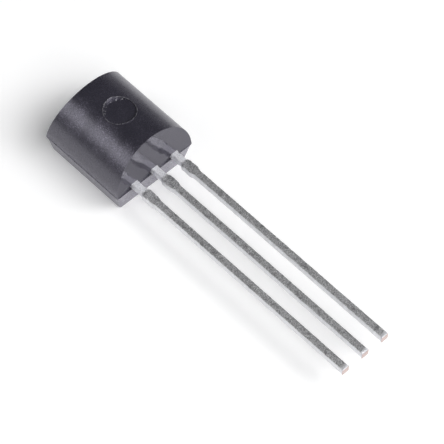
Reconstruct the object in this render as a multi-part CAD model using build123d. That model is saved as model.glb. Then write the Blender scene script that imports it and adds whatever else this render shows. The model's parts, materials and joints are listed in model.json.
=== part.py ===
from build123d import *

import os

os.makedirs("parts", exist_ok=True)

# A leaded temperature sensor in a TO-92 style package, lying on its flat face. All sizes in mm.
# Frame: the flat face is on Z = 0 and the round side faces +Z. X runs across the row of leads, the leads
# leave the body along -Y, and the origin is the centre of the flat face.

# Moulded body. It is widest at the parting plane, where the two mould halves met.
body_width = 4.80
body_length = 4.95
flat_depth = 1.10            # parting plane above the flat face
round_height = 2.42          # crown of the round side above the parting plane
side_lean = 0.30             # how far each long side leans in, from the parting plane to the flat face
flat_end_lean = 0.12         # the same at the two ends
round_end_lean = 0.36        # how far each end leans in, from the parting plane to the crown
corner_radius = 0.22         # four upright corners of the flat half, at the flat face
arch_edge_radius = 0.04      # arched rims of the two ends, and the upright corners at the parting plane
pin_mark_diameter = 1.60     # dish that the mould's ejector pin leaves in the crown
pin_mark_depth = 0.17
pin_mark_radius = 0.03       # rounded rim of the dish

# Lead frame: three leads stamped from one strip and cut apart after moulding.
lead_pitch = 1.27
lead_width = 0.42
lead_thickness = 0.38
lead_length = 13.70          # from the body's end at the parting plane to the cut tips
lead_drop = 0.06             # underside of the leads below the parting plane
neck_length = 0.62           # plain stretch between the body and the shoulders
shoulder_width = 0.58        # stubs of the tie bar that joined the leads in the strip
shoulder_length = 0.95
shoulder_slope = 0.16

# Inside the body.
lead_depth = 1.25            # how far the leads run into the body before they widen
post_width = 0.92            # bond posts at the inner ends of the outer leads
post_length = 0.75
paddle_gap = 0.30            # moulding between the bond posts and the die paddle
paddle_width = 1.90          # die paddle on the centre lead
paddle_length = 1.75
notch_radius = 0.09          # half-round notches that lock the leads into the moulding
notch_depth = 0.62           # notches behind the body's end
die_width = 0.90
die_length = 1.10
die_thickness = 0.28
attach_thickness = 0.03      # conductive adhesive under the die
attach_margin = 0.08
wire_diameter = 0.05
wire_loop = 0.30             # top of each bond wire above the die
bond_inset = 0.14            # bonds in from the edges they are nearest to
ball_diameter = 0.11
ball_height = 0.03

lead_bottom = flat_depth - lead_drop
lead_top = lead_bottom + lead_thickness
body_end = -body_length / 2
lead_tip = body_end - lead_length
inner_end = body_end + lead_depth
paddle_start = inner_end + post_length + paddle_gap
paddle_middle = paddle_start + paddle_length / 2
attach_top = lead_top + attach_thickness
die_top = attach_top + die_thickness


def stamping(outline):
    """A flat piece of lead frame with the given XY outline."""
    face = make_face(Polyline(*outline, close=True))
    return extrude(Pos(0, 0, lead_bottom) * face, amount=lead_thickness)


def bar(middle_x, width, y_from, y_to):
    """A straight rectangular stretch of lead frame along Y."""
    half = width / 2
    return stamping([
        (middle_x - half, y_from),
        (middle_x + half, y_from),
        (middle_x + half, y_to),
        (middle_x - half, y_to),
    ])


def lead(x):
    """One straight lead from its cut tip to its inner end, with shoulders outside and notches inside."""
    half = lead_width / 2
    wide = shoulder_width / 2
    near = body_end - neck_length
    far = near - shoulder_length
    shoulders = stamping([
        (x - half, near),
        (x - wide, near - shoulder_slope),
        (x - wide, far + shoulder_slope),
        (x - half, far),
        (x + half, far),
        (x + wide, far + shoulder_slope),
        (x + wide, near - shoulder_slope),
        (x + half, near),
    ])
    strip = bar(x, lead_width, lead_tip, inner_end) + shoulders
    for side in (-1, 1):
        notch = Cylinder(notch_radius, lead_thickness)
        place = (x + side * half, body_end + notch_depth, lead_bottom + lead_thickness / 2)
        strip -= Pos(*place) * notch
    return strip


def outer_lead(side):
    """A lead that ends in a bond post beside the centre lead."""
    x = side * lead_pitch
    return lead(x) + bar(x, post_width, inner_end, inner_end + post_length)


def bond_wire(start, end):
    """A fine wire that rises from a ball on the die, arches over and lands upright on a lead."""
    arch_top = die_top + wire_loop * 4 / 3
    path = Bezier(start, Vector(start.X, start.Y, arch_top), Vector(end.X, end.Y, arch_top), end)
    wire = sweep((path ^ 0) * Circle(wire_diameter / 2), path=path, is_frenet=True)
    ball = Cylinder(ball_diameter / 2, ball_height, align=(Align.CENTER, Align.CENTER, Align.MIN))
    return wire + Pos(start) * ball


def flat_face_at(height, lean):
    """Outline of the flat half at a height; lean is 0 at the parting plane and 1 at the flat face."""
    width = body_width - 2 * side_lean * lean
    length = body_length - 2 * flat_end_lean * lean
    radius = arch_edge_radius + (corner_radius - arch_edge_radius) * lean
    return Pos(0, 0, height) * RectangleRounded(width, length, radius)


# Flat half of the body: a block that leans in on all four sides towards the flat face.
flat_half = loft([flat_face_at(0, 1), flat_face_at(flat_depth, 0)])

# Round half: an arched bar whose two ends lean in towards the crown.
arch = ThreePointArc((-body_width / 2, flat_depth), (0, flat_depth + round_height), (body_width / 2, flat_depth))
arch_face = make_face([arch, Line(arch @ 1, arch @ 0)])
round_half = extrude(Plane.XZ * arch_face, amount=body_length / 2, both=True)
crown_end = body_length / 2 - round_end_lean
side_profile = make_face(Polyline(
    (-body_length / 2, flat_depth),
    (body_length / 2, flat_depth),
    (crown_end, flat_depth + round_height),
    (-crown_end, flat_depth + round_height),
    close=True,
))
round_half &= extrude(Plane.YZ * side_profile, amount=body_width, both=True)
arched_rims = round_half.edges().filter_by(GeomType.ELLIPSE)
round_half = fillet(arched_rims, arch_edge_radius)

# Dish of the ejector pin, in the middle of the crown.
crown = flat_depth + round_height
dish = Pos(0, 0, crown - pin_mark_depth) * Cylinder(
    pin_mark_diameter / 2, body_length / 4, align=(Align.CENTER, Align.CENTER, Align.MIN)
)
round_half -= dish
dish_rim = [
    edge for edge in round_half.edges()
    if abs(edge.center().X) < pin_mark_diameter and abs(edge.center().Y) < pin_mark_diameter
    and edge.bounding_box().max.Z > crown - pin_mark_depth + pin_mark_radius
    and edge.bounding_box().size.X > pin_mark_diameter / 4
    and edge.bounding_box().size.X < pin_mark_diameter * 1.1
]
round_half = fillet(dish_rim, pin_mark_radius)

# Leads.
lead_left = outer_lead(-1)
lead_right = outer_lead(1)
lead_centre = lead(0)
lead_centre += bar(0, lead_width, inner_end, paddle_start)
lead_centre += bar(0, paddle_width, paddle_start, paddle_start + paddle_length)

# Sensor die, its adhesive, and the three bond wires.
sensor_die = Pos(0, paddle_middle, attach_top) * Box(
    die_width, die_length, die_thickness, align=(Align.CENTER, Align.CENTER, Align.MIN)
)
die_attach = Pos(0, paddle_middle, lead_top) * Box(
    die_width + 2 * attach_margin,
    die_length + 2 * attach_margin,
    attach_thickness,
    align=(Align.CENTER, Align.CENTER, Align.MIN),
)
die_near_edge = paddle_middle - die_length / 2
bond_row = die_near_edge + bond_inset
post_bond_y = inner_end + post_length - bond_inset
wire_ends = {
    "bond_wire_left": (-(die_width / 2 - bond_inset), -lead_pitch, post_bond_y),
    "bond_wire_right": (die_width / 2 - bond_inset, lead_pitch, post_bond_y),
    "bond_wire_centre": (0, 0, paddle_start - bond_inset),
}
pieces = {
    "lead_left": lead_left,
    "lead_centre": lead_centre,
    "lead_right": lead_right,
    "sensor_die": sensor_die,
    "die_attach": die_attach,
}
for name, (die_x, lead_x, lead_y) in wire_ends.items():
    pieces[name] = bond_wire(Vector(die_x, bond_row, die_top), Vector(lead_x, lead_y, lead_top))

# The moulding fills everything around the inner pieces.
body_moulding = flat_half + round_half
for piece in pieces.values():
    body_moulding -= piece
pieces["body_moulding"] = body_moulding

for name, piece in pieces.items():
    export_step(piece, f"parts/{name}.step")
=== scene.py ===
# %% [markdown]
# # A leaded temperature sensor
#
# The sensor is a black moulded body, flat on one side and round on the other, with three tin-plated leads.
# It is about 19 mm long, so a scratch of a hundredth of a millimetre already shows in a close view. The CAD
# model gives every size. This file gives the parts the rims, burrs, plating and dust that a drawing leaves out,
# and paints some light, sheen and shade into their colours.

# %% Load the CAD frame
import json
import math

import bpy
from mathutils import Matrix, Vector

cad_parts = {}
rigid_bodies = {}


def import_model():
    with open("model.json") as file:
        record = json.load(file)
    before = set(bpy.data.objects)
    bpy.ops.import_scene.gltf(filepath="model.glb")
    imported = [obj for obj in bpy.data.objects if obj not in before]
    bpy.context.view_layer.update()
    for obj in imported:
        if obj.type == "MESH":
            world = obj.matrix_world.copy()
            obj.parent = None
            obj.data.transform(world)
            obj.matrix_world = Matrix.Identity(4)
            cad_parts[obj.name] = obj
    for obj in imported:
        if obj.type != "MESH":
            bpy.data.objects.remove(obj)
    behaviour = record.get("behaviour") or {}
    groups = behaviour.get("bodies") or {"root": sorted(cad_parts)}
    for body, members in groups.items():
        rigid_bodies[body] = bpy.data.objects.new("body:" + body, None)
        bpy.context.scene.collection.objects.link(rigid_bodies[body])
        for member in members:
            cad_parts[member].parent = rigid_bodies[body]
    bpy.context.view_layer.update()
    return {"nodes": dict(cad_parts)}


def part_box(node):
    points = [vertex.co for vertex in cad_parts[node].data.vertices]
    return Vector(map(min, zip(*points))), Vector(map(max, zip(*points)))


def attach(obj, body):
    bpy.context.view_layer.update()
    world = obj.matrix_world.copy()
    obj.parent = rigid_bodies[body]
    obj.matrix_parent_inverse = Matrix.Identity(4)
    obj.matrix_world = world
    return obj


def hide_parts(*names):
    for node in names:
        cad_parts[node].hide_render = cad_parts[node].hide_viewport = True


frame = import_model()
MM = 0.001
print("CAD nodes:", sorted(frame["nodes"]))

# %% [markdown]
# Most sizes come from the CAD boxes, so a change in the CAD model carries through to them; the parting height,
# the lead pitch and width and the neck and shoulder lengths are given as numbers. Blender's editing tools have fixed
# tolerances near a tenth of a millimetre, which is a lot on a lead that is 0.4 mm wide. So the new pieces are
# modelled at a thousand times their size, one unit to the millimetre, and shrunk when they are finished.

# %% Sizes from the CAD model and given sizes, in millimetres
def box_mm(node):
    low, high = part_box(node)
    return low / MM, high / MM


body_high = box_mm("body_moulding")[1]
centre_low, centre_high = box_mm("lead_centre")
outer_high = box_mm("lead_right")[1]
half_width = body_high.x
half_length = body_high.y
crown = body_high.z
parting = 1.10
lead_pitch = 1.27
lead_width = 0.40
lead_thickness = centre_high.z - centre_low.z
lead_middle = (centre_high.z + centre_low.z) / 2
tip_y = centre_low.y + 0.01
neck_length = 0.62
shoulder_length = 0.95
print("body half width, half length and crown:", round(half_width, 3), round(half_length, 3), round(crown, 3))
print("lead section:", lead_width, "by", round(lead_thickness, 3))

# %% [markdown]
# A few helpers keep the cells short. Operators act on whatever is selected, so each piece starts from an
# empty selection, and faces, edges and points are then picked by their place.


# %% Helpers for editing by place
def only(piece):
    """Makes this piece the only one selected, and the active one."""
    bpy.ops.object.select_all(action="DESELECT")
    if piece:
        piece.select_set(True)
        bpy.context.view_layer.objects.active = piece


def settle(name):
    """Names the primitive just added, and puts its place, turn and size into its mesh."""
    piece = bpy.context.active_object
    piece.name = name
    piece.data.name = name
    bpy.ops.object.transform_apply(location=True, rotation=True, scale=True)
    return piece


def pick(piece, mode, wanted):
    """In edit mode, selects the points, edges or faces that `wanted` accepts by their place."""
    bpy.ops.mesh.select_mode(type=mode)
    bpy.ops.mesh.select_all(action="DESELECT")
    bpy.ops.object.mode_set(mode="OBJECT")
    mesh = piece.data
    if mode == "VERT":
        for point in mesh.vertices:
            point.select = wanted(point.co)
    if mode == "EDGE":
        for edge in mesh.edges:
            edge.select = wanted(*(mesh.vertices[i].co for i in edge.vertices))
    if mode == "FACE":
        for face in mesh.polygons:
            face.select = wanted(face.center, face.normal)
    bpy.ops.object.mode_set(mode="EDIT")


def apply_modifier(piece, kind, **settings):
    """Adds a modifier with these settings and applies it."""
    only(piece)
    modifier = piece.modifiers.new(kind.title(), kind)
    for key, value in settings.items():
        setattr(modifier, key, value)
    bpy.ops.object.modifier_apply(modifier=modifier.name)


def combine(piece, other, operation):
    """Joins, cuts or intersects two closed pieces, and removes the second."""
    apply_modifier(piece, "BOOLEAN", operation=operation, object=other, solver="EXACT")
    bpy.data.objects.remove(other)


def finish_piece(piece, smooth_degrees):
    """Smooths the gentle edges, keeps the broad faces plain, and shrinks the piece to metres."""
    only(piece)
    bpy.ops.object.shade_smooth_by_angle(angle=math.radians(smooth_degrees))
    apply_modifier(piece, "WEIGHTED_NORMAL", keep_sharp=True)
    piece.scale = (MM, MM, MM)
    bpy.ops.object.transform_apply(location=False, rotation=False, scale=True)


# %% [markdown]
# ## Body
#
# The body is moulded in one shot of epoxy. Its round half is an arch with two ends that lean in, so that it
# lifts out of the mould. A turned cylinder cut by three planes gives exactly that shape, and keeps long clean
# faces along the arch, which matters because its soft reflections show every bump.

# %% Round half
flash = 0.015
arch_radius = half_width - flash
arch_top = crown - 0.03
end_lean = 0.36
only(None)
bpy.ops.mesh.primitive_cylinder_add(vertices=192, radius=arch_radius, depth=3 * half_length,
                                    location=(0, 0, arch_top - arch_radius), rotation=(math.pi / 2, 0, 0))
body = settle("body")
bpy.ops.object.mode_set(mode="EDIT")
end_normal = Vector((0, crown - parting, end_lean)).normalized()
cuts = [((0, 0, parting), (0, 0, -1))]
for side in (-1, 1):
    cuts.append(((0, side * (half_length - flash), parting), (0, side * end_normal.y, end_normal.z)))
for place, normal in cuts:
    bpy.ops.mesh.select_all(action="SELECT")
    bpy.ops.mesh.bisect(plane_co=place, plane_no=normal, use_fill=True, clear_outer=True)
bpy.ops.mesh.select_all(action="SELECT")
bpy.ops.mesh.normals_make_consistent(inside=False)
bpy.ops.object.mode_set(mode="OBJECT")
print("round half:", len(body.data.polygons), "faces")

# %% [markdown]
# The flat half is a shallow block whose four sides lean in towards the flat face. Its upright corners are
# rounded.

# %% Flat half
side_lean = 0.30
flat_end_lean = 0.12
only(None)
bpy.ops.mesh.primitive_cube_add(size=1, location=(0, 0, parting / 2),
                                scale=(2 * arch_radius, 2 * (half_length - flash), parting))
flat_half = settle("flat_half")
bpy.ops.object.mode_set(mode="EDIT")
pick(flat_half, "VERT", lambda co: co.z < parting / 2)
bpy.ops.transform.resize(value=(1 - side_lean / arch_radius, 1 - flat_end_lean / half_length, 1),
                         center_override=(0, 0, 0))
pick(flat_half, "EDGE", lambda a, b: abs(a.z - b.z) > parting / 2)
bpy.ops.mesh.bevel(offset=0.10, offset_type="OFFSET", segments=6, affect="EDGES")
bpy.ops.object.mode_set(mode="OBJECT")
print("flat half:", len(flat_half.data.polygons), "faces")

# %% [markdown]
# Where the mould halves met, a little resin crept out and left a thin fin, called flash. It is a plate two
# hundredths of a millimetre thick, just wider than the body, and it draws the fine line round the sides.

# %% Flash at the parting plane
only(None)
bpy.ops.mesh.primitive_cube_add(size=1, location=(0, 0, parting), scale=(2 * half_width, 2 * half_length, 0.022))
fin = settle("fin")
bpy.ops.object.mode_set(mode="EDIT")
pick(fin, "EDGE", lambda a, b: abs(a.z - b.z) > 0.01)
bpy.ops.mesh.bevel(offset=0.08, offset_type="OFFSET", segments=5, affect="EDGES")
bpy.ops.object.mode_set(mode="OBJECT")
combine(body, flat_half, "UNION")
combine(body, fin, "UNION")
print("body with flash:", len(body.data.polygons), "faces")

# %% [markdown]
# The mould's ejector pin presses on the crown and leaves a shallow round dish with a thin raised ring. The
# ring is what a tube and a slightly larger arch have in common, so it follows the curve of the crown.

# %% Ejector dish and its ring
dish_radius = 0.80
dish_depth = 0.15
only(None)
bpy.ops.mesh.primitive_cylinder_add(vertices=192, radius=arch_radius + 0.027, depth=2.4,
                                    location=(0, 0, arch_top - arch_radius), rotation=(math.pi / 2, 0, 0))
ring = settle("ring")
bpy.ops.object.select_all(action="DESELECT")
bpy.ops.mesh.primitive_cylinder_add(vertices=96, radius=dish_radius + 0.02, depth=0.8, location=(0, 0, crown - 0.1))
tube = settle("tube")
combine(ring, tube, "INTERSECT")
combine(body, ring, "UNION")
bpy.ops.object.select_all(action="DESELECT")
bpy.ops.mesh.primitive_cone_add(vertices=96, radius1=dish_radius - 0.01, radius2=dish_radius, depth=0.30,
                                location=(0, 0, arch_top - dish_depth + 0.15))
plug = settle("plug")
combine(body, plug, "DIFFERENCE")
print("body with dish:", len(body.data.polygons), "faces")

# %% [markdown]
# The mould is cut away a little beside each lead, so that the strip can lie in it. That leaves a small dark
# nick on one side of each lead, and a thin groove along the parting line between them.

# %% Nicks and groove at the parting line
only(None)
bpy.ops.mesh.primitive_cube_add(size=1, location=(0, -half_length, parting + 0.022), scale=(4.1, 0.14, 0.066))
groove = settle("groove")
for number in range(3):
    bpy.ops.object.select_all(action="DESELECT")
    inner_side = (number - 1) * lead_pitch - 0.14
    bpy.ops.mesh.primitive_cube_add(size=1, location=(inner_side - 0.42, -half_length, parting + 0.13),
                                    scale=(0.84, 0.60, 0.30))
    nick = settle("nick")
    bpy.ops.object.mode_set(mode="EDIT")
    pick(nick, "VERT", lambda co: co.x < inner_side - 0.5 and co.z > parting)
    bpy.ops.transform.translate(value=(0, 0, -0.23))
    bpy.ops.object.mode_set(mode="OBJECT")
    combine(groove, nick, "UNION")
combine(body, groove, "DIFFERENCE")
print("body with nicks:", len(body.data.polygons), "faces")

# %% [markdown]
# The resin closes around the leads, the die and the adhesive, so the body has a pocket for each. Copies of the
# CAD nodes cut the pockets. A CAD mesh is loose triangles, so each copy has its doubles merged first. Last, a
# narrow bevel breaks the sharp rims, which is what catches the light on a real moulding.

# %% Pockets and rims
for name in ("lead_left", "lead_centre", "lead_right", "die_attach", "sensor_die"):
    cutter = bpy.data.objects.new("cutter", frame["nodes"][name].data.copy())
    bpy.context.scene.collection.objects.link(cutter)
    cutter.scale = (1 / MM, 1 / MM, 1 / MM)
    only(cutter)
    bpy.ops.object.transform_apply(location=True, rotation=True, scale=True)
    apply_modifier(cutter, "WELD", merge_threshold=0.0005)
    combine(body, cutter, "DIFFERENCE")
apply_modifier(body, "BEVEL", width=0.02, segments=2, limit_method="ANGLE", angle_limit=math.radians(28))
finish_piece(body, 40)
print("finished body:", len(body.data.polygons), "faces")

# %% [markdown]
# ## Leads
#
# The three leads are stamped from one strip and dipped in tin. A bar is cut into short rings by subdividing its
# long edges, then the rings are widened at the shoulders, where a bridge held the leads together until it was
# cut away. The widening is uneven, because a punch never cuts in quite the same place twice.


# %% One lead
def widening(y, number):
    """How many times wider than the plain lead it is at this place."""
    near = -half_length - neck_length
    far = near - shoulder_length
    if y > near:
        return 0.93 + 0.03 * math.sin(y / 0.085 + 1.7 * number)
    rise = max(0.0, min(1.0, (near - y) / 0.14, (y - far) / 0.34))
    wave = 0.05 * math.sin(y / 0.11 + 2.1 * number) + 0.03 * math.sin(y / 0.047 + number)
    return 1 + rise * rise * (3 - 2 * rise) * (0.36 + wave)


def make_lead(name, number, inner_end, inner_width, last_end):
    """A lead along -Y with shoulders outside the body and a wide end inside it."""
    x = (number - 1) * lead_pitch
    only(None)
    bpy.ops.mesh.primitive_cube_add(size=1, location=(x, (tip_y + inner_end) / 2, lead_middle),
                                    scale=(lead_width, inner_end - tip_y, lead_thickness))
    lead = settle(name)
    bpy.ops.object.mode_set(mode="EDIT")
    bpy.ops.mesh.select_all(action="SELECT")
    bpy.ops.mesh.subdivide(number_cuts=3)
    pick(lead, "EDGE", lambda a, b: abs(a.y - b.y) > 1)
    bpy.ops.mesh.subdivide(number_cuts=89)
    half, thick = lead_width / 2 - 0.01, lead_thickness / 2 - 0.01
    pick(lead, "EDGE", lambda a, b: all(abs(p.x - x) > half and abs(p.z - lead_middle) > thick for p in (a, b)))
    bpy.ops.mesh.bevel(offset=0.055, offset_type="OFFSET", segments=3, affect="EDGES")
    lead.update_from_editmode()
    rings = sorted(set(round(point.co.y, 4) for point in lead.data.vertices))
    for y in rings:
        if -half_length - neck_length - shoulder_length < y < -half_length:
            pick(lead, "VERT", lambda co: abs(co.y - y) < 0.002)
            bpy.ops.transform.resize(value=(widening(y, number), 1, 1), center_override=(x, y, lead_middle))
    pick(lead, "FACE", lambda centre, normal: normal.y > 0.9)
    bpy.ops.mesh.extrude_region_move(TRANSFORM_OT_translate={"value": (0, 0.02, 0)})
    bpy.ops.transform.resize(value=(inner_width / lead_width, 1, 1), center_override=(x, inner_end, lead_middle))
    bpy.ops.mesh.extrude_region_move(TRANSFORM_OT_translate={"value": (0, last_end - inner_end - 0.02, 0)})
    bpy.ops.object.mode_set(mode="OBJECT")
    return lead


post_width = 0.92
post_start = outer_high.y - 0.75
paddle_width = 1.90
paddle_start = centre_high.y - 1.75
leads = [
    make_lead("lead_1", 0, post_start, post_width, outer_high.y),
    make_lead("lead_2", 1, paddle_start, paddle_width, centre_high.y),
    make_lead("lead_3", 2, post_start, post_width, outer_high.y),
]
print("leads:", [(lead.name, len(lead.data.polygons)) for lead in leads])

# %% [markdown]
# The shear that cuts a lead drags its edges down and spreads the end a little. The last ring of points is
# moved to show both. A fine displacement then gives the surface the uneven coat that dipping in tin leaves.

# %% Cut tips and uneven plating
coat = bpy.data.textures.new("tin_coat", "CLOUDS")
coat.noise_scale = 0.10
coat.noise_depth = 2
for number, lead in enumerate(leads):
    x = (number - 1) * lead_pitch
    only(lead)
    bpy.ops.object.mode_set(mode="EDIT")
    pick(lead, "VERT", lambda co: co.y < tip_y + 0.005 and co.z > lead_middle + 0.15)
    bpy.ops.transform.translate(value=(0, 0.035, -0.045))
    pick(lead, "VERT", lambda co: co.y < tip_y + 0.005 and co.z < lead_middle - 0.15)
    bpy.ops.transform.translate(value=(0, 0, -0.03))
    pick(lead, "VERT", lambda co: co.y < tip_y + 0.08)
    bpy.ops.transform.resize(value=(1.08, 1, 1), center_override=(x, tip_y, lead_middle))
    bpy.ops.object.mode_set(mode="OBJECT")
    apply_modifier(lead, "DISPLACE", texture=coat, texture_coords="LOCAL", strength=0.024, mid_level=0.80)
    finish_piece(lead, 80)
    print(lead.name, [round(v / MM, 3) for v in lead.dimensions])

# %% [markdown]
# ## Materials
#
# Every finish is built from nodes that read Object coordinates, so it stays put when the view changes. A small
# helper adds a node and sets its inputs. The pattern sizes are in metres, so scale 10000 is a tenth of a
# millimetre.


# %% Node helpers
def new_finish(name):
    finish = bpy.data.materials.new(name)
    finish.use_nodes = True
    nodes = finish.node_tree.nodes
    nodes.clear()
    output = nodes.new("ShaderNodeOutputMaterial")
    shader = nodes.new("ShaderNodeBsdfPrincipled")
    finish.node_tree.links.new(shader.outputs["BSDF"], output.inputs["Surface"])
    return finish, finish.node_tree, shader


def add(tree, kind, values=None, **settings):
    """Adds a node, sets its properties and its inputs, and links any input given as a socket."""
    node = tree.nodes.new(kind)
    for key, value in settings.items():
        setattr(node, key, value)
    for key, value in (values or {}).items():
        if isinstance(value, bpy.types.NodeSocket):
            tree.links.new(value, node.inputs[key])
        else:
            node.inputs[key].default_value = value
    return node


def place(tree):
    return add(tree, "ShaderNodeTexCoord").outputs["Object"]


def noise(tree, vector, scale, detail=3.0, rough=0.5):
    return add(tree, "ShaderNodeTexNoise", {"Vector": vector, "Scale": scale, "Detail": detail,
                                            "Roughness": rough}).outputs["Fac"]


def spread(tree, value, from_low, from_high, to_low, to_high, kind="LINEAR"):
    return add(tree, "ShaderNodeMapRange",
               {"Value": value, "From Min": from_low, "From Max": from_high, "To Min": to_low, "To Max": to_high},
               interpolation_type=kind).outputs["Result"]


def blend_colour(tree, factor, first, second):
    node = add(tree, "ShaderNodeMix", data_type="RGBA")
    for index, value in ((0, factor), (6, first), (7, second)):
        if isinstance(value, bpy.types.NodeSocket):
            tree.links.new(value, node.inputs[index])
        else:
            node.inputs[index].default_value = value
    return node.outputs[2]


def times(tree, first, second):
    return add(tree, "ShaderNodeMath", {0: first, 1: second}, operation="MULTIPLY").outputs[0]


def faces_along(tree, axis, little, much):
    """One where the surface faces along this axis, either way, and nought where it faces another way."""
    facing = add(tree, "ShaderNodeSeparateXYZ", {"Vector": add(tree, "ShaderNodeTexCoord").outputs["Normal"]})
    size = add(tree, "ShaderNodeMath", {0: facing.outputs[axis]}, operation="ABSOLUTE").outputs[0]
    return spread(tree, size, little, much, 0, 1, "SMOOTHSTEP")


# %% [markdown]
# The moulding compound is epoxy filled with fine glass beads. It comes out charcoal with a slightly violet cast.
# Paler flecks along the left shoulder of the arch are partly dust and partly a painted sheen where the soft band of
# light falls. A large noise says where they lie, a fine one breaks them into flecks, and they stop short of the
# ends.

# %% Moulding compound: base colour, dust and painted sheen
moulding, tree, shader = new_finish("moulding_compound")
where = place(tree)
part_of = add(tree, "ShaderNodeSeparateXYZ", {"Vector": where}).outputs
grain = noise(tree, where, 14000, 4, 0.6)
cloud = noise(tree, where, 1300, 5, 0.62)
on_end = faces_along(tree, "Y", 0.80, 0.95)
off_end = spread(tree, on_end, 0, 1, 1, 0)
# Painted sheen and dust: a paler mask on the left shoulder, where the soft band of light falls.
sheen_and_dust_side = times(tree, spread(tree, part_of["X"], -2.15 * MM, -1.75 * MM, 0, 1, "SMOOTHSTEP"),
                spread(tree, part_of["X"], -1.3 * MM, -0.6 * MM, 1, 0.15, "SMOOTHSTEP"))
patches = spread(tree, cloud, 0.36, 0.60, 0.25, 1, "SMOOTHSTEP")
flecks = spread(tree, noise(tree, where, 21000, 2, 0.5), 0.52, 0.66, 0.12, 1)
dust_and_sheen = times(tree, times(tree, patches, sheen_and_dust_side), flecks)
charcoal = (0.012, 0.011, 0.018, 1)
dust_and_sheen_colour = blend_colour(tree, times(tree, dust_and_sheen, off_end), charcoal, (0.20, 0.187, 0.24, 1))
print("dust nodes:", len(tree.nodes))

# %% [markdown]
# The lower sides of the arch are painted paler, as painted light, and the paler tone fades out up the sides.
# Below the parting line the flat half is painted paler still, and mottled.

# %% Moulding compound: painted light on the lower sides
# Painted light: just above the parting line, the lower sides of the arch are painted paler.
lit_flank = times(tree, spread(tree, part_of["Z"], parting * MM, (parting + 0.60) * MM, 1, 0, "SMOOTHSTEP"),
              spread(tree, grain, 0.35, 0.65, 0.5, 1))
lit_flank_colour = blend_colour(tree, times(tree, lit_flank, off_end), dust_and_sheen_colour, (0.105, 0.10, 0.125, 1))
# Below the parting line the flat half is painted paler and mottled.
low = spread(tree, part_of["Z"], (parting - 0.09) * MM, (parting - 0.05) * MM, 1, 0)
pale_flat_half = times(tree, times(tree, low, spread(tree, on_end, 0, 1, 0.7, 1)), spread(tree, grain, 0.35, 0.65, 0.4, 1))
with_pale_flat_half = blend_colour(tree, pale_flat_half, lit_flank_colour, (0.26, 0.25, 0.29, 1))

# %% [markdown]
# The thin raised ring round the ejector dish carries a painted highlight, broken here and there, and a few painted
# glints lie inside its far side. Both are found by their distance from the upright axis through the dish.

# %% Moulding compound: painted highlights on the ejector mark
flat_place = add(tree, "ShaderNodeVectorMath", {0: where, 1: (1, 1, 0)}, operation="MULTIPLY").outputs[0]
from_axis = add(tree, "ShaderNodeVectorMath", {0: flat_place}, operation="LENGTH").outputs["Value"]
# Painted highlight: a thin pale line along the ring.
rim_highlight = times(tree, spread(tree, from_axis, (dish_radius - 0.012) * MM, (dish_radius - 0.002) * MM, 0, 1),
            spread(tree, from_axis, (dish_radius + 0.005) * MM, (dish_radius + 0.02) * MM, 1, 0))
rim_highlight_breaks = spread(tree, noise(tree, where, 9000, 3, 0.6), 0.42, 0.62, 0.09, 0.6)
inside_rim = times(tree, spread(tree, from_axis, (dish_radius - 0.15) * MM, (dish_radius - 0.12) * MM, 0, 1),
                   spread(tree, from_axis, dish_radius * MM, (dish_radius + 0.01) * MM, 1, 0))
far_side = spread(tree, part_of["Y"], 0.30 * MM, 0.45 * MM, 0, 1)
# Painted glints: sparse pale specks inside the far side of the ring.
crumb_glints = times(tree, times(tree, inside_rim, far_side),
               spread(tree, noise(tree, where, 14000, 1, 0.5), 0.62, 0.68, 0, 1))
painted_highlights = add(tree, "ShaderNodeMath", {0: times(tree, rim_highlight, rim_highlight_breaks), 1: crumb_glints}, operation="MAXIMUM").outputs[0]
on_crown = spread(tree, part_of["Z"], (crown - 0.45) * MM, (crown - 0.40) * MM, 0, 1)
# The painted highlight and glints are pale only on the crown.
colour = blend_colour(tree, times(tree, painted_highlights, on_crown), with_pale_flat_half, (0.48, 0.47, 0.50, 1))
tree.links.new(colour, shader.inputs["Base Color"])

# %% [markdown]
# The mould cavity is satin along the arch and polished at its two ends, so the ends mirror the leads. Bump at two
# scales gives the grain that the beads leave under the skin of the resin.

# %% Moulding compound: gloss and grain
satin = spread(tree, grain, 0.3, 0.7, 0.23, 0.35)
polished = spread(tree, grain, 0.3, 0.7, 0.07, 0.13)
tree.links.new(blend_colour(tree, on_end, satin, polished), shader.inputs["Roughness"])
shader.inputs["IOR"].default_value = 2.0
shader.inputs["Specular Tint"].default_value = (0.89, 0.865, 1.0, 1)
pits = add(tree, "ShaderNodeBump", {"Strength": 0.25, "Distance": 0.004 * MM, "Height": grain})
speck = noise(tree, where, 30000, 2, 0.5)
fine = add(tree, "ShaderNodeBump", {"Strength": 0.15, "Distance": 0.002 * MM, "Height": speck,
                                    "Normal": pits.outputs["Normal"]})
tree.links.new(fine.outputs["Normal"], shader.inputs["Normal"])
body.data.materials.clear()
body.data.materials.append(moulding)
print("moulding compound nodes:", len(tree.nodes))

# %% [markdown]
# The tin coat is bright but uneven: dull grains, small dark stains and a few clean glints. The sides of a lead
# were sheared, so they are smoother than the top, and their colour is paler, a painted reflection of the bright
# bowl.

# %% Tin plating: grains, stains and glints
tin, tree, shader = new_finish("tin_plating")
where = place(tree)
grains = noise(tree, where, 19000, 4, 0.7)
stains = noise(tree, where, 3500, 3, 0.6)
dull = spread(tree, grains, 0.40, 0.62, 0, 1)
plated = blend_colour(tree, dull, (0.38, 0.38, 0.39, 1), (0.90, 0.90, 0.91, 1))
stained = blend_colour(tree, spread(tree, stains, 0.50, 0.68, 0, 0.7, "SMOOTHSTEP"), plated, (0.26, 0.26, 0.27, 1))
glints = spread(tree, noise(tree, where, 23000, 1, 0.5), 0.60, 0.70, 0, 1)
glinting = blend_colour(tree, glints, stained, (0.98, 0.98, 0.98, 1))
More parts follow.
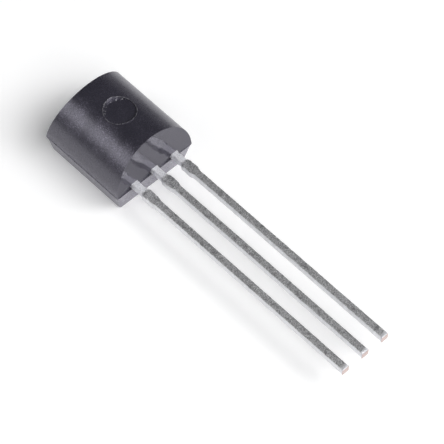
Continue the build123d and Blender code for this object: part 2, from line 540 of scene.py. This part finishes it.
# Painted reflection: the sides of the leads are painted paler than the top.
side_reflection = times(tree, faces_along(tree, "X", 0.60, 0.85), 0.7)
with_side_reflection = blend_colour(tree, side_reflection, glinting, (0.84, 0.84, 0.86, 1))
print("tin grain nodes:", len(tree.nodes))

# %% [markdown]
# Next to the body the mould clamped the lead, and pressed it smooth and pale. At the tip the shear went through
# the coat, so copper shows there. Both places are found by their distance along the lead.

# %% Tin plating: pressed necks and cut tips
along = add(tree, "ShaderNodeSeparateXYZ", {"Vector": where}).outputs["Y"]
neck_start = -half_length - neck_length
neck = spread(tree, along, (neck_start - 0.06) * MM, (neck_start + 0.06) * MM, 0, 1, "SMOOTHSTEP")
tip = spread(tree, along, (tip_y + 0.14) * MM, (tip_y + 0.20) * MM, 0.7, 0, "SMOOTHSTEP")
clean = times(tree, add(tree, "ShaderNodeMath", {0: neck, 1: tip}, operation="MAXIMUM").outputs[0],
              spread(tree, grains, 0.38, 0.58, 0.48, 1))
cleaned = blend_colour(tree, clean, with_side_reflection, (0.90, 0.90, 0.94, 1))
bare = times(tree, spread(tree, along, (tip_y + 0.012) * MM, (tip_y + 0.030) * MM, 1, 0, "SMOOTHSTEP"),
             spread(tree, grains, 0.35, 0.65, 0.35, 0.9))
coloured = blend_colour(tree, bare, cleaned, (0.62, 0.42, 0.36, 1))
tree.links.new(coloured, shader.inputs["Base Color"])

# %% [markdown]
# The glints are rougher than the dull grains around them, so they stay bright from every side. The pressed necks
# scatter the light so much that they count as half metal, half pale powder.

# %% Tin plating: gloss and lumps
rough = spread(tree, glints, 0, 1, 0.44, 0.75)
tree.links.new(blend_colour(tree, clean, rough, (0.60, 0.60, 0.60, 1)), shader.inputs["Roughness"])
tree.links.new(spread(tree, clean, 0, 1, 1, 0.45), shader.inputs["Metallic"])
lumps = add(tree, "ShaderNodeBump", {"Strength": 0.9, "Distance": 0.02 * MM, "Height": grains})
fine_grains = noise(tree, where, 30000, 3, 0.6)
pores = add(tree, "ShaderNodeBump", {"Strength": 0.4, "Distance": 0.004 * MM, "Height": fine_grains,
                                     "Normal": lumps.outputs["Normal"]})
tree.links.new(pores.outputs["Normal"], shader.inputs["Normal"])
for lead in leads:
    lead.data.materials.clear()
    lead.data.materials.append(tin)
print("tin plating nodes:", len(tree.nodes))

# %% [markdown]
# The pieces sealed inside the body keep their CAD shapes. The die is polished silicon with a faint pattern of
# cells, its adhesive is filled with silver flakes, and the bond wires are gold.


# %% Pieces inside the body
def inner_finish(name, dark, light, scale, metallic, roughness, kind="ShaderNodeTexNoise"):
    finish, tree, shader = new_finish(name)
    pattern = add(tree, kind, {"Vector": place(tree), "Scale": scale})
    value = pattern.outputs["Fac"] if kind == "ShaderNodeTexNoise" else pattern.outputs["Distance"]
    tree.links.new(blend_colour(tree, spread(tree, value, 0.3, 0.7, 0, 1), dark, light), shader.inputs["Base Color"])
    tree.links.new(spread(tree, value, 0.2, 0.8, roughness, roughness + 0.12), shader.inputs["Roughness"])
    shader.inputs["Metallic"].default_value = metallic
    return finish


silicon = inner_finish("silicon", (0.20, 0.19, 0.24, 1), (0.42, 0.40, 0.50, 1), 9000, 0.6, 0.10,
                       "ShaderNodeTexVoronoi")
silver_glue = inner_finish("silver_adhesive", (0.40, 0.40, 0.39, 1), (0.66, 0.66, 0.64, 1), 24000, 0.4, 0.40)
gold = inner_finish("gold_wire", (0.80, 0.55, 0.20, 1), (0.92, 0.70, 0.33, 1), 8000, 1.0, 0.16)
inner_pieces = {"sensor_die": silicon, "die_attach": silver_glue, "bond_wire_left": gold, "bond_wire_centre": gold,
                "bond_wire_right": gold}
for name, finish in inner_pieces.items():
    node = frame["nodes"][name]
    node.data.materials.clear()
    node.data.materials.append(finish)
print("inner finishes:", sorted(set(finish.name for finish in inner_pieces.values())))

# %% [markdown]
# Each new piece stands for its CAD node, which is hidden, and rides on the one body that a part without
# joints has.

# %% Tie the new pieces to the frame
for piece, node, slot in ((body, "body_moulding", "moulding"), (leads[0], "lead_left", "lead"),
                          (leads[1], "lead_centre", "lead"), (leads[2], "lead_right", "lead")):
    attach(piece, "root")
    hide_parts(node)

# %% [markdown]
# ## Stage
#
# The sensor lies in a wide pale bowl: a floor that curves up into a low wall all round. Metal and satin plastic
# show what is around them, so the bowl gives the sides of the leads something bright to reflect, and the open
# top leaves the upward faces darker.

# %% Floor and wall
only(None)
bpy.ops.mesh.primitive_circle_add(vertices=96, radius=0.30, fill_type="NGON", location=(0, -0.006, -0.00002))
floor = settle("floor")
bpy.ops.object.mode_set(mode="EDIT")
pick(floor, "EDGE", lambda a, b: True)
for widen, rise in ((1.18, 0.008), (1.12, 0.024), (1.06, 0.045), (1.02, 0.070)):
    bpy.ops.mesh.extrude_edges_move(TRANSFORM_OT_translate={"value": (0, 0, rise)})
    bpy.ops.transform.resize(value=(widen, widen, 1), center_override=(0, 0, 0))
bpy.ops.object.mode_set(mode="OBJECT")
bpy.ops.object.shade_smooth()
print("floor:", len(floor.data.polygons), "faces")

# %% [markdown]
# The bowl is white paper round the sensor and painted grey further out, a painted fall-off of light, so the satin
# faces mirror less light. The paper glows a little for the camera and for mirrors, which keeps it pale without
# lighting the sensor.

# %% Paper
paper, tree, shader = new_finish("pale_paper")
fibre = noise(tree, place(tree), 400, 4, 0.6)
white = blend_colour(tree, fibre, (0.94, 0.94, 0.94, 1), (0.97, 0.97, 0.97, 1))
from_part = add(tree, "ShaderNodeVectorMath", {0: place(tree), 1: (0, -0.006, 0)}, operation="DISTANCE")
# Painted shade: beyond 14 mm from the part the paper turns grey, a painted fall-off of light.
painted_falloff = spread(tree, from_part.outputs["Value"], 0.014, 0.065, 0, 1, "SMOOTHSTEP")
tree.links.new(blend_colour(tree, painted_falloff, white, (0.26, 0.26, 0.27, 1)), shader.inputs["Base Color"])
shader.inputs["Roughness"].default_value = 0.9
shader.inputs["Specular IOR Level"].default_value = 0.1
seen = add(tree, "ShaderNodeLightPath")
direct = add(tree, "ShaderNodeMath", {0: seen.outputs["Is Camera Ray"], 1: seen.outputs["Is Glossy Ray"]},
             operation="MAXIMUM").outputs[0]
shader.inputs["Emission Color"].default_value = (1, 1, 1, 1)
tree.links.new(times(tree, direct, 0.12), shader.inputs["Emission Strength"])
floor.data.materials.append(paper)
print("paper nodes:", len(tree.nodes))

# %% [markdown]
# Three soft lamps and a dim sky light it. The lamp behind on the left draws the soft band along the body's round
# side. The wide one in front brings the whole up to a plain level. The small one before it lights the tops of the
# leads, which the polished ends of the body mirror.


# %% Lamps and sky
def softbox(name, direction, distance, width, height, radiance):
    """A rectangular lamp that faces the part, with its brightness given as what a mirror would show."""
    lamp = bpy.data.lights.new(name, "AREA")
    lamp.shape = "RECTANGLE"
    lamp.size = width
    lamp.size_y = height
    lamp.energy = radiance * math.pi * width * height
    holder = bpy.data.objects.new(name, lamp)
    bpy.context.scene.collection.objects.link(holder)
    holder.location = Vector(direction).normalized() * distance
    holder.rotation_euler = Vector(direction).to_track_quat("Z", "Y").to_euler()


softbox("left_back_lamp", (-0.715, 0.383, 0.585), 0.60, 0.42, 0.29, 1.5)
softbox("front_lamp", (0.10, -0.66, 0.75), 0.60, 0.90, 0.46, 3.1)
softbox("right_front_lamp", (0.42, -0.62, 0.67), 0.55, 0.26, 0.26, 4.0)
world = bpy.data.worlds.new("sky")
bpy.context.scene.world = world
world.use_nodes = True
world.node_tree.nodes["Background"].inputs["Color"].default_value = (0.96, 0.97, 1.0, 1)
world.node_tree.nodes["Background"].inputs["Strength"].default_value = 0.12
bpy.context.scene.view_settings.view_transform = "Standard"

# %% [markdown]
# ## Camera
#
# A long lens looks down over the ends of the leads. Its direction is given as an azimuth and an elevation
# round the part, with a small roll, because the part lies a little askew in the view.

# %% Camera
azimuth, elevation, roll = (math.radians(v) for v in (-48.463, 55.524, 5.013))
distance = 130 * MM
image_scale = 21.658 / MM
across, upward = 0.6444 * MM, -0.4259 * MM
back = Vector((math.sin(azimuth) * math.cos(elevation), -math.cos(azimuth) * math.cos(elevation),
               math.sin(elevation)))
level = Vector((math.cos(azimuth), math.sin(azimuth), 0))
steep = back.cross(level)
right = math.cos(roll) * level + math.sin(roll) * steep
above = math.cos(roll) * steep - math.sin(roll) * level
lens = bpy.data.cameras.new("camera")
lens.sensor_width = 36
lens.lens = 36 * image_scale * distance / 444
lens.clip_start = 0.01
lens.clip_end = 10
camera = bpy.data.objects.new("camera", lens)
bpy.context.scene.collection.objects.link(camera)
target = Vector((0, -6.0, 1.5)) * MM
camera.location = target + back * distance + right * across + above * upward
camera.rotation_euler = Matrix((right, above, back)).transposed().to_euler()
bpy.context.scene.camera = camera
print("lens in mm:", round(lens.lens, 1))
